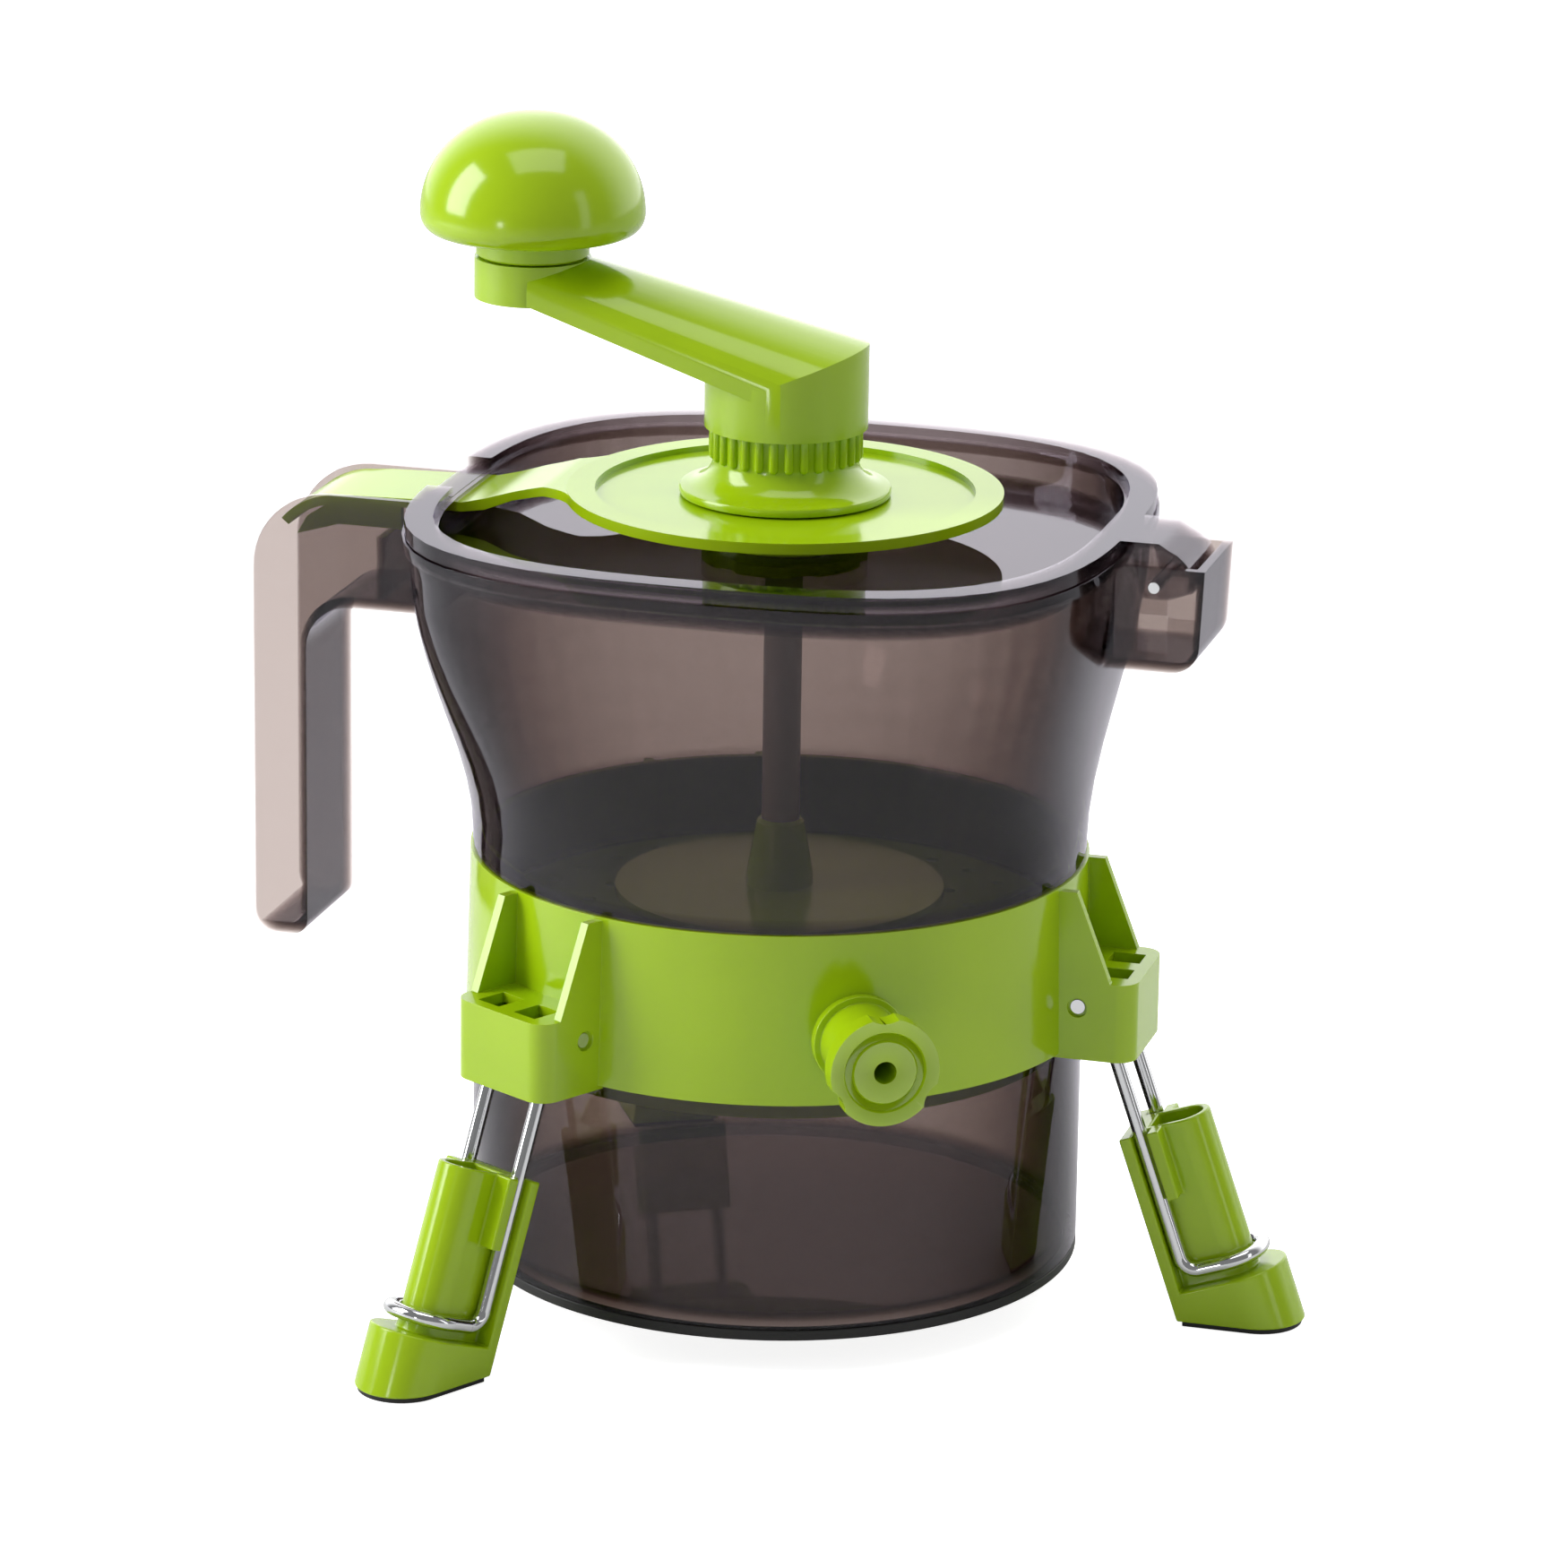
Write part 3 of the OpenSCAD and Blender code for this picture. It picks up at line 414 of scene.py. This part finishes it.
def makeArch():
    a = armShape
    x0, x1 = a["knobEnd"][0], a["hubEnd"][0]
    clearSelection()
    bpy.ops.mesh.primitive_cylinder_add(
        vertices=96, radius=1 * mm, depth=(x1 - x0) * mm, location=((x0 + x1) / 2 * mm, 0, 0),
        rotation=(0, math.pi / 2, 0),
    )
    arch = bpy.context.object
    settle(arch)
    editAll(arch)
    bpy.ops.mesh.bisect(
        plane_co=(0, 0, 0.0001 * mm), plane_no=(0, 0, 1), use_fill=False, clear_inner=True, clear_outer=False,
    )
    doneEditing()
    # the two lower edges are drawn down into the arm's straight sides
    selectVertices(arch, lambda co: co.z < 0.01)
    bpy.ops.mesh.extrude_region_move(TRANSFORM_OT_translate={"value": (0, 0, -1 * mm)})
    bpy.ops.mesh.select_all(action="SELECT")
    bpy.ops.mesh.remove_doubles(threshold=0.0001 * mm)
    bpy.ops.mesh.fill_holes(sides=0)
    doneEditing()
    for x, half, edge, rise in (a["hubEnd"], a["knobEnd"]):
        selectVertices(arch, lambda co: abs(co.x - x) < 0.1)
        bpy.ops.transform.resize(value=(1, half, 1), center_override=(x * mm, 0, 0))
        doneEditing()
        selectVertices(arch, lambda co: abs(co.x - x) < 0.1 and co.z > -0.01)
        bpy.ops.transform.resize(value=(1, 1, rise), center_override=(x * mm, 0, 0))
        doneEditing()
        selectVertices(arch, lambda co: abs(co.x - x) < 0.1 and co.z < -0.5)
        bpy.ops.transform.translate(value=(0, 0, (1 - a["sideDepth"]) * mm))
        doneEditing()
        selectVertices(arch, lambda co: abs(co.x - x) < 0.1)
        bpy.ops.transform.translate(value=(0, 0, edge * mm))
        doneEditing()
    editAll(arch)
    bpy.ops.mesh.normals_make_consistent(inside=False)
    doneEditing()
    return arch


def makeCrankArm():
    a = armShape
    arm = makeArch()
    zone = addCylinder(a["hubRadius"], 200, 280, vertices=192)
    span = addBlock((a["knobX"], -a["hubRadius"] + 0.01, 200), (0, a["hubRadius"] - 0.01, a["bossTop"] - 0.02))
    cutWith(zone, span, "UNION")
    cutWith(arm, zone, "INTERSECT")
    cutWith(arm, addCylinder(a["hubRadius"], a["hubBottom"], a["hubTop"], vertices=192), "UNION")
    cutWith(arm, addCylinder(a["bossRadius"], a["bossBottom"], a["bossTop"], (a["knobX"], 0)), "UNION")
    editAll(arm)
    bpy.ops.mesh.remove_doubles(threshold=0.01 * mm)
    bpy.ops.mesh.dissolve_limited(angle_limit=math.radians(0.3))
    doneEditing()
    roundEdges(arm, a["edge"], segments=4, angle=24)
    smooth(arm, 30)
    return finishPiece(arm, "crankArm", "crank", greenAbs, ("crank_arm",))


# the ribbed collar under the hub and its flared skirt
collarShape = {
    "bottom": 196.6, "skirtRadius": 25.4, "lip": 2.2, "fluteBottom": 206, "fluteTop": 213.1,
    "coreRadius": 17.3, "ribs": 30, "ribRadius": 1.15, "shaftRadius": 4.7,
}


def makeFlutedCollar():
    c = collarShape
    flare = c["fluteBottom"] - c["bottom"] - c["lip"]
    spread = c["skirtRadius"] - c["coreRadius"]
    outline = [(c["shaftRadius"], c["bottom"]), (c["skirtRadius"] - 0.8, c["bottom"])]
    outline += [(c["skirtRadius"] - 0.25, c["bottom"] + 0.25), (c["skirtRadius"], c["bottom"] + 0.8)]
    outline += [(c["skirtRadius"], c["bottom"] + c["lip"] - 0.6)]
    outline += [(c["skirtRadius"] - 0.3, c["bottom"] + c["lip"] - 0.1)]
    for i in range(1, 15):
        t = math.radians(90 * i / 14)
        outline.append((c["coreRadius"] + spread * (1 - math.sin(t)),
                        c["bottom"] + c["lip"] + flare * (1 - math.cos(t))))
    outline += [(c["coreRadius"], c["fluteTop"]), (c["shaftRadius"], c["fluteTop"])]
    body = ringStack(outline, sides=160, closed=True)
    height = c["fluteTop"] - c["fluteBottom"]
    clearSelection()
    bpy.ops.mesh.primitive_uv_sphere_add(
        segments=16, ring_count=12, radius=c["ribRadius"] * mm,
        location=(c["coreRadius"] * mm, 0, (c["fluteBottom"] + 0.4) * mm),
    )
    rib = bpy.context.object
    settle(rib)
    # the upper half of the bead is drawn up into a rib that runs under the hub
    selectVertices(rib, lambda co: co.z > c["fluteBottom"] + 0.41)
    bpy.ops.transform.translate(value=(0, 0, (height - 0.6) * mm))
    doneEditing()
    ribs = []
    for i in range(c["ribs"]):
        copy = bpy.data.objects.new("rib", rib.data.copy())
        bpy.context.scene.collection.objects.link(copy)
        copy.rotation_euler.z = 2 * math.pi * i / c["ribs"]
        ribs.append(copy)
    bpy.data.objects.remove(rib)
    pick(body)
    for copy in ribs:
        copy.select_set(True)
    bpy.ops.object.join()
    smooth(body, 35)
    return finishPiece(body, "flutedCollar", "crank", greenAbs, ("drive_collar",))


makeCrankArm()
makeFlutedCollar()
print("crank made")

# the floor is hollow underneath, and four ledges inside the top hold the cup in its bayonet
cupShape = {
    "radius": 74.2, "wall": 2.2, "bottom": 11.1, "top": 72.2, "plugRadius": 71, "plugBottom": 9.1,
    "floorTop": 14.1, "floorThick": 2.5, "ledges": 4, "ledgeRadius": 70.9, "ledgeHalf": 6, "ledgeTop": 71.2,
    "fillet": 2.2,
}


def makeJuiceCup():
    c = cupShape
    inner = c["radius"] - c["wall"]
    under = c["floorTop"] - c["floorThick"]
    outline = [(0.001, under), (69.2, under), (69.8, under - 0.6), (69.8, c["plugBottom"] + 0.3)]
    outline += [(70.1, c["plugBottom"]), (c["plugRadius"] - 0.3, c["plugBottom"])]
    outline += [(c["plugRadius"], c["plugBottom"] + 0.3)]
    outline += [(c["plugRadius"], c["bottom"]), (c["radius"] - 0.7, c["bottom"])]
    outline += [(c["radius"] - 0.2, c["bottom"] + 0.2), (c["radius"], c["bottom"] + 0.7)]
    outline += [(c["radius"], c["top"] - 0.6), (c["radius"] - 0.2, c["top"] - 0.15), (c["radius"] - 0.6, c["top"])]
    outline += [(inner + 0.5, c["top"]), (inner + 0.1, c["top"] - 0.15), (inner, c["top"] - 0.5)]
    for i in range(7):
        t = math.radians(15 * i)
        outline.append((inner - c["fillet"] * (1 - math.cos(t)), c["floorTop"] + c["fillet"] * (1 - math.sin(t))))
    outline.append((0.001, c["floorTop"]))
    cup = ringStack(outline, sides=160)
    for i in range(c["ledges"]):
        ledge = addBlock(
            (c["ledgeRadius"], -c["ledgeHalf"], c["ledgeTop"] - 2), (inner + 0.6, c["ledgeHalf"], c["ledgeTop"]),
        )
        ledge.rotation_euler.z = 2 * math.pi * (i + 0.5) / c["ledges"]
        settle(ledge)
        cutWith(cup, ledge, "UNION")
    smooth(cup, 35)
    return finishPiece(cup, "juiceCup", "cup", smokedSan, ("cup",))


makeJuiceCup()
print("cup made")

# built upright, then turned to lie on the collar's tap
tapShape = {
    "height": 83.8, "angle": -60, "radius": 13, "back": 94.6, "front": 100, "stemRadius": 7.04, "stemStart": 82.4,
    "bore": 2.7, "ring": (7.4, 9.8), "ringDepth": 0.7, "edge": 0.55,
    "lobes": 3, "scoopRadius": 6.4, "scoopReach": 18.2,
}


def makeTapKnob():
    t = tapShape
    face = t["front"] - t["ringDepth"]
    outline = [(t["bore"], t["stemStart"]), (t["stemRadius"], t["stemStart"]), (t["stemRadius"], t["back"])]
    outline += [(t["radius"], t["back"]), (t["radius"], t["front"]), (t["ring"][1], t["front"])]
    outline += [(t["ring"][1] - 0.4, face), (t["ring"][0] + 0.4, face)]
    outline += [(t["ring"][0], t["front"]), (t["bore"], t["front"])]
    knob = ringStack(outline, sides=144, closed=True)
    for i in range(t["lobes"]):
        way = math.pi + 2 * math.pi * i / t["lobes"]
        scoop = (t["scoopReach"] * math.cos(way), t["scoopReach"] * math.sin(way))
        cutWith(knob, addCylinder(t["scoopRadius"], t["back"] - 1, t["front"] + 1, scoop, 96))
    roundEdges(knob, t["edge"], segments=4, angle=30)
    smooth(knob, 32)
    turn = Matrix.Rotation(math.radians(t["angle"]), 4, "Z") @ Matrix.Rotation(math.pi / 2, 4, "Y")
    knob.matrix_world = Matrix.Translation((0, 0, t["height"] * mm)) @ turn
    return finishPiece(knob, "tapKnob", "tap", greenAbs, ("tap_knob",))


makeTapKnob()
print("tap knob made")

bowlEdges = {"rim": 0.6, "rimAngle": 40, "handle": 0.5}


def makeFruitBowl():
    # the bowl, its handle and the hinge pocket are one moulding
    bowl = mergedCopy("bowl", "fruitBowl", dissolve=False)
    roundEdges(bowl, bowlEdges["rim"], angle=bowlEdges["rimAngle"])
    for nodeName in ("handle", "hinge_pocket"):
        part = mergedCopy(nodeName, "part")
        roundEdges(part, bowlEdges["handle"])
        cutWith(bowl, part, "UNION")
    editAll(bowl)
    bpy.ops.mesh.remove_doubles(threshold=0.005 * mm)
    doneEditing()
    smooth(bowl, 30)
    return finishPiece(
        bowl, "fruitBowl", "base", smokedSan, ("bowl", "handle", "hinge_pocket")
    )


makeFruitBowl()
print("bowl made")

# pieces that keep their CAD shape, with moulded edges
greenPieces = [
    # node, name, body, edge radius
    ("collar", "legCollar", "base", 0.5),
    ("strainer", "strainerPlate", "base", 0),
    ("drain_web", "drainFloor", "base", 0.3),
    ("latch_disc", "latchDisc", "lid", 0.4),
    ("lid_nut", "lidNut", "lid", 0.3),
    ("press_rotor", "pressRotor", "crank", 0.3),
    ("tap_body", "tapBarrel", "base", 0.4),
    ("foot_1", "slidingFootRight", "foot_1", 0.5),
    ("foot_2", "slidingFootBack", "foot_2", 0.5),
    ("foot_3", "slidingFootLeft", "foot_3", 0.5),
]
for nodeName, pieceName, body, edge in greenPieces:
    softened(nodeName, pieceName, body, greenAbs, edge)
softened("lid", "hingedLid", "lid", thinSan, 0.7)
otherPieces = [
    ("cup_base_ring", "cupBaseRing", "cup", 0.4, soleRubber, "rubber"),
    ("bowl_seal", "bowlSeal", "base", 0.3, sealRubber, "seal_rubber"),
    ("hinge_pin", "hingePin", "base", 0.2, chromeWire, "chromed_steel"),
    ("shaft_screw", "shaftScrew", "crank", 0, chromeWire, "chromed_steel"),
    ("knob_spindle", "knobSpindle", "crank", 0.2, chromeWire, "chromed_steel"),
    ("knob_washer", "knobWasher", "crank", 0, chromeWire, "chromed_steel"),
    ("shaft", "driveShaft", "crank", 0.3, paleAcetal, "pale_plastic"),
    ("lid_bush", "shaftBush", "lid", 0.2, paleAcetal, "pale_plastic"),
]
for nodeName, pieceName, body, edge, material, slotName in otherPieces:
    softened(nodeName, pieceName, body, material, edge)
for number, where in ((1, "Right"), (2, "Back"), (3, "Left")):
    softened(
        f"leg_wire_{number}", f"legWire{where}", f"leg_{number}", chromeWire, 0, smoothAngle=60,
    )
    softened(f"foot_pad_{number}", f"footSole{where}", f"foot_{number}", soleRubber, 0.3)
print("CAD pieces finished")

# metres and watts
studio = {
    "floor": "#E6E6E6", "floorGlow": 0.86, "floorSize": 6.0,
    "backdrop": 1.0, "ambient": 0.24, "wall": 1.9,  # seen directly, round about, and behind the press
    # name: place, size, aim, power, colour
    "lamps": {
        "keyLeft": ((-1.3, -0.5, 0.8), (0.7, 1.2), (0, 0, 0.15), 22, "#FFFFFF"),
        "topBox": ((0.1, -0.2, 1.5), (1.0, 0.7), (0, 0, 0.15), 5, "#FFFFFF"),
        "fillRight": ((1.5, -0.5, 0.6), (0.3, 1.2), (0, 0, 0.12), 1.5, "#FFFFFF"),
        "window": ((-0.5, -1.6, 0.2), (0.14, 0.16), (0, 0, 0.12), 0.8, "#FFFFFF"),
    },
}


def makeFloor():
    clearSelection()
    bpy.ops.mesh.primitive_plane_add(size=studio["floorSize"], location=(0, 0, 0))
    floor = bpy.context.object
    floor.name = "studioFloor"
    material, tree = newMaterial("paleStudioFloor")
    shader = addNode(
        tree, "ShaderNodeBsdfPrincipled", None, None, Base_Color=linear(studio["floor"]), Roughness=0.6,
    )
    seen = addNode(tree, "ShaderNodeLightPath")
    glow = addNode(
        tree, "ShaderNodeEmission", None, {"Strength": seen.outputs["Is Camera Ray"]},
        Color=(studio["floorGlow"],) * 3 + (1,),
    )
    both = addNode(tree, "ShaderNodeAddShader", None, {0: shader.outputs[0], 1: glow.outputs[0]})
    addNode(tree, "ShaderNodeOutputMaterial", None, {"Surface": both.outputs[0]})
    floor.data.materials.append(material)


def makeLamp(name, place, size, aim, power, colour):
    data = bpy.data.lights.new(name, "AREA")
    data.shape = "RECTANGLE"
    data.size, data.size_y = size
    data.energy = power
    data.color = linear(colour)[:3]
    lamp = bpy.data.objects.new(name, data)
    lamp.location = place
    lamp.rotation_euler = (Vector(place) - Vector(aim)).to_track_quat("Z", "Y").to_euler()
    bpy.context.scene.collection.objects.link(lamp)


def makeStudio():
    makeFloor()
    for name, settings in studio["lamps"].items():
        makeLamp(name, *settings)
    world = bpy.data.worlds.new("studioWorld")
    world.use_nodes = True
    tree = world.node_tree
    seen = addNode(tree, "ShaderNodeLightPath")
    place = addNode(tree, "ShaderNodeTexCoord")
    parts = addNode(tree, "ShaderNodeSeparateXYZ", None, {0: place.outputs["Generated"]})
    wall = addNode(
        tree, "ShaderNodeMapRange", {"interpolation_type": "SMOOTHSTEP"}, {"Value": parts.outputs["Y"]},
        From_Min=0.1, From_Max=0.75, To_Min=studio["ambient"], To_Max=studio["wall"],
    )
    level = addNode(
        tree, "ShaderNodeMix", None, {"Factor": seen.outputs["Is Camera Ray"], "A": wall.outputs[0]},
        B=studio["backdrop"],
    )
    tree.nodes["Background"].inputs["Color"].default_value = (1, 1, 1, 1)
    tree.links.new(level.outputs[0], tree.nodes["Background"].inputs["Strength"])
    bpy.context.scene.world = world
    bpy.context.scene.view_settings.view_transform = "Standard"
    bpy.context.scene.cycles.transparent_max_bounces = 40


cameraSet = {
    "azimuth": 15.47, "elevation": 16.73, "distance": 1.71645, "lens": 162.92, "roll": 0.854,
    "aimRight": 0.00074, "aimUp": 0.12388,
}


def makeCamera():
    c = cameraSet
    around, above = math.radians(c["azimuth"]), math.radians(c["elevation"])
    back = Vector((math.sin(around) * math.cos(above), -math.cos(around) * math.cos(above), math.sin(above)))
    right = Vector((math.cos(around), math.sin(around), 0))
    data = bpy.data.cameras.new("studioCamera")
    data.lens = c["lens"]
    data.sensor_width = 36
    camera = bpy.data.objects.new("studioCamera", data)
    bpy.context.scene.collection.objects.link(camera)
    aim = right * c["aimRight"] + Vector((0, 0, c["aimUp"]))
    up = back.cross(right)
    turn = Matrix((right, up, back)).transposed().to_4x4()
    roll = Matrix.Rotation(math.radians(c["roll"]), 4, "Z")
    camera.matrix_world = Matrix.Translation(aim + back * c["distance"]) @ turn @ roll
    bpy.context.scene.camera = camera


makeStudio()
makeCamera()
print("studio made")
